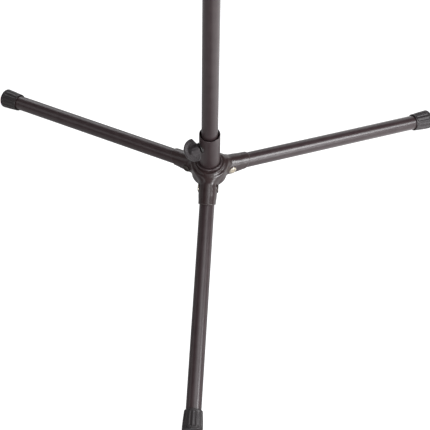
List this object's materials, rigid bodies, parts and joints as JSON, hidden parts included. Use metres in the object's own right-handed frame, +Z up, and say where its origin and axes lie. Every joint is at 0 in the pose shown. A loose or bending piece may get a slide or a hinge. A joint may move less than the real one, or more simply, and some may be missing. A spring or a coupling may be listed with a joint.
{
  "type": "trumpet stand",
  "caption": "Folding trumpet stand: low tripod base with rubber-tipped legs, clamped centre shaft with wing knob, and a padded peg that holds the bell.",
  "frame": {"origin": "centre of the flat underside of the hub's base plug, on the shaft's axis", "axes": "+Z up along the shaft towards the peg's tip, -Y along the front leg seen from above, +X to the right"},
  "size_m": [0.4876, 0.4242, 0.4923],
  "materials": {
    "coat": "satin dark grey-brown powder coat",
    "moulded": "satin moulded charcoal nylon",
    "rubber": "matte dark grey rubber",
    "zinc": "warm nickel-zinc plate",
    "velour": "black short-pile velour"
  },
  "bodies": {
    "hub": {"hub_casting": "coat", "hub_base_plug": "moulded", "collar_flange": "coat", "collar_tube": "coat", "collar_liner": "moulded", "clamp_insert": "coat", "front_pivot_barrel": "zinc", "front_pivot_screw": "zinc", "right_pivot_barrel": "zinc", "right_pivot_screw": "zinc", "left_pivot_barrel": "zinc", "left_pivot_screw": "zinc"},
    "front_leg": {"front_leg_tube": "coat", "front_leg_bush": "moulded", "front_foot": "rubber"},
    "right_leg": {"right_leg_tube": "coat", "right_leg_bush": "moulded", "right_foot": "rubber"},
    "left_leg": {"left_leg_tube": "coat", "left_leg_bush": "moulded", "left_foot": "rubber"},
    "shaft": {"shaft_tube": "coat", "shaft_end_plug": "moulded", "peg_flange": "moulded", "peg_sleeve": "moulded", "peg_cover": "velour", "bell_pad": "velour", "peg_tip_cap": "moulded"},
    "clamp_screw": {"clamp_screw": "zinc"},
    "wing_knob": {"wing_knob": "moulded"}
  },
  "joints": [
    {"name": "front_leg_fold", "type": "hinge", "parent": "hub", "child": "front_leg", "pos_m": [0, -0.02238, 0.00471], "axis": [1, 0, 0], "range_deg": [0, 76.7]},
    {"name": "right_leg_fold", "type": "hinge", "parent": "hub", "child": "right_leg", "pos_m": [0.01938, 0.01119, 0.00471], "axis": [-0.5, 0.866, 0], "range_deg": [0, 76.7]},
    {"name": "left_leg_fold", "type": "hinge", "parent": "hub", "child": "left_leg", "pos_m": [-0.01938, 0.01119, 0.00471], "axis": [-0.5, -0.866, 0], "range_deg": [0, 76.7]},
    {"name": "shaft_height", "type": "slide", "parent": "hub", "child": "shaft", "axis": [0, 0, 1], "range_m": [0, 0.035]},
    {"name": "clamp_screw_travel", "type": "slide", "parent": "hub", "child": "clamp_screw", "axis": [-0.866, -0.5, 0], "range_m": [0, 0.00201]},
    {"name": "knob_turn", "type": "hinge", "parent": "clamp_screw", "child": "wing_knob", "pos_m": [0, 0, 0.0495], "axis": [-0.866, -0.5, 0], "range_deg": [0, 720]}
  ],
  "couplings": [
    {"joint": "clamp_screw_travel", "follows": "knob_turn", "m_per_rad": 0.00015915}
  ]
}
